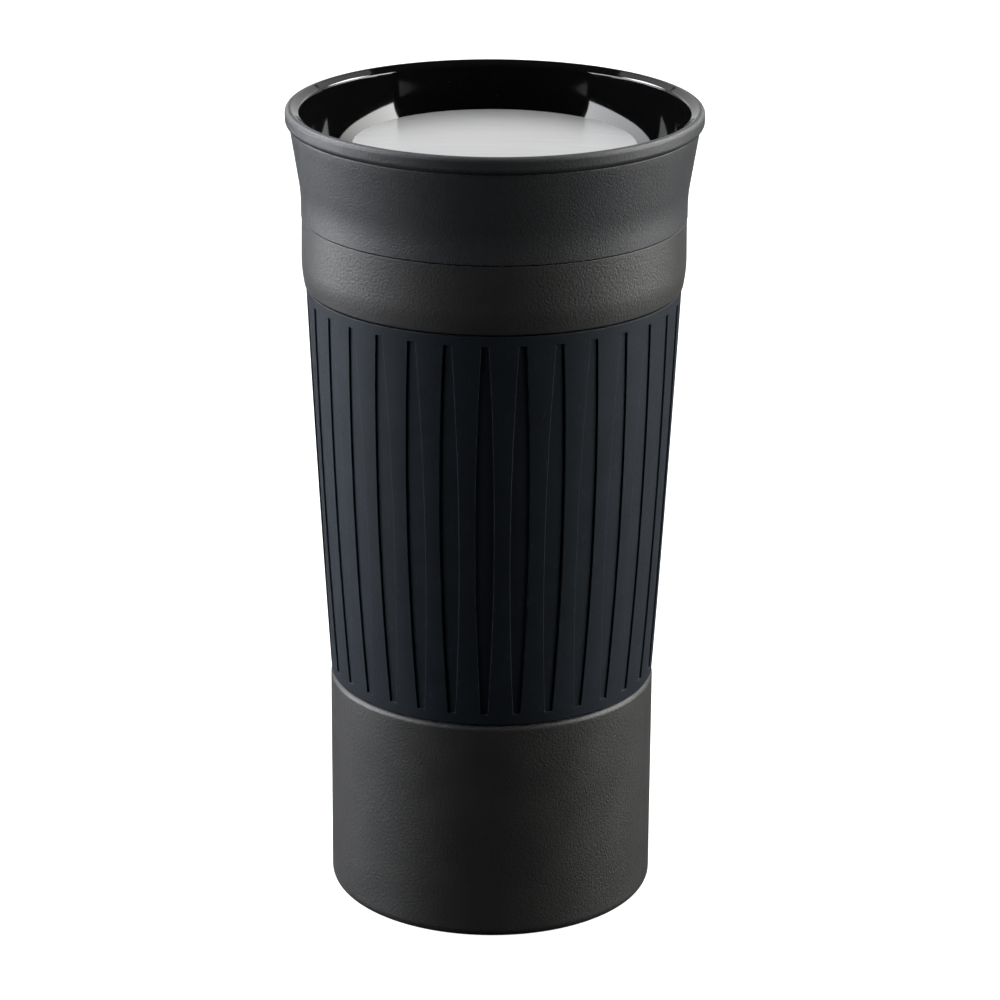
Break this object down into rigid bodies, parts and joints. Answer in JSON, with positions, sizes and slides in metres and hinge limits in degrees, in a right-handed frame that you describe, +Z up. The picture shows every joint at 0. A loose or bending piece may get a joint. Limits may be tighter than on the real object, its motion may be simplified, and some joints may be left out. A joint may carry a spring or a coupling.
{
  "type": "insulated tumbler",
  "caption": "Double-walled travel tumbler with a ribbed grip sleeve, a screw-on flared drinking lid and a central press button that opens an all-round valve.",
  "frame": {"origin": "centre of the foot pad's face, under the vessel's axis", "axes": "+Z up along the vessel's axis; -Y is the side that faces the viewer"},
  "size_m": [0.086, 0.086, 0.1719],
  "materials": {
    "powder_coated_steel": "fine orange-peel powder coat, charcoal",
    "bare_steel": "bare stainless steel, turned finish",
    "getter_metal": "dull sintered metal",
    "grip_silicone": "matte blue-black silicone",
    "foot_silicone": "matte black silicone",
    "seal_silicone": "translucent grey silicone",
    "matte_moulding": "fine-textured satin moulding",
    "gloss_moulding": "polished black moulding",
    "black_moulding": "satin black moulding",
    "natural_moulding": "natural acetal",
    "brushed_disc": "straight-brushed stainless steel",
    "bonding_tape": "foam bonding tape"
  },
  "bodies": {
    "vessel": {"outer_shell": "powder_coated_steel", "inner_liner": "bare_steel", "base_cover": "bare_steel", "vacuum_plug": "bare_steel", "getter": "getter_metal", "neck_thread_ring": "black_moulding", "grip_sleeve": "grip_silicone", "foot_pad": "foot_silicone"},
    "gasket": {"lid_gasket": "seal_silicone"},
    "lid": {"lid_collar": "matte_moulding", "lid_bowl": "gloss_moulding", "lid_thread_ring": "black_moulding", "valve_cage": "black_moulding", "stem_bush": "natural_moulding", "spring_washer": "bare_steel", "return_spring": "bare_steel"},
    "button": {"button_disc": "brushed_disc", "disc_adhesive": "bonding_tape", "button_cap": "gloss_moulding", "valve_stem": "bare_steel", "valve_plate": "black_moulding", "valve_seal": "seal_silicone", "plate_nut": "black_moulding", "nut_o_ring": "seal_silicone", "retaining_clip": "bare_steel"},
    "latch": {"latch_rotor": "natural_moulding"}
  },
  "joints": [
    {"name": "lid_rise", "type": "slide", "parent": "vessel", "child": "gasket", "axis": [0, 0, 1], "range_m": [0, 0.048]},
    {"name": "lid_turn", "type": "hinge", "parent": "gasket", "child": "lid", "pos_m": [0, 0, 0.1493], "axis": [0, 0, 1], "range_deg": [0, 1440]},
    {"name": "button_press", "type": "slide", "parent": "lid", "child": "button", "axis": [0, 0, -1], "range_m": [0, 0.004], "stiffness_N_per_m": 1500, "springref_m": -0.003, "deforming": ["return_spring"]},
    {"name": "latch_turn", "type": "hinge", "parent": "button", "child": "latch", "pos_m": [0, 0, 0.148], "axis": [0, 0, 1], "range_deg": [0, 45]}
  ],
  "couplings": [
    {"joint": "lid_rise", "follows": "lid_turn", "m_per_rad": 0.0019098},
    {"joint": "latch_turn", "follows": "button_press", "rad_per_m": 196}
  ]
}
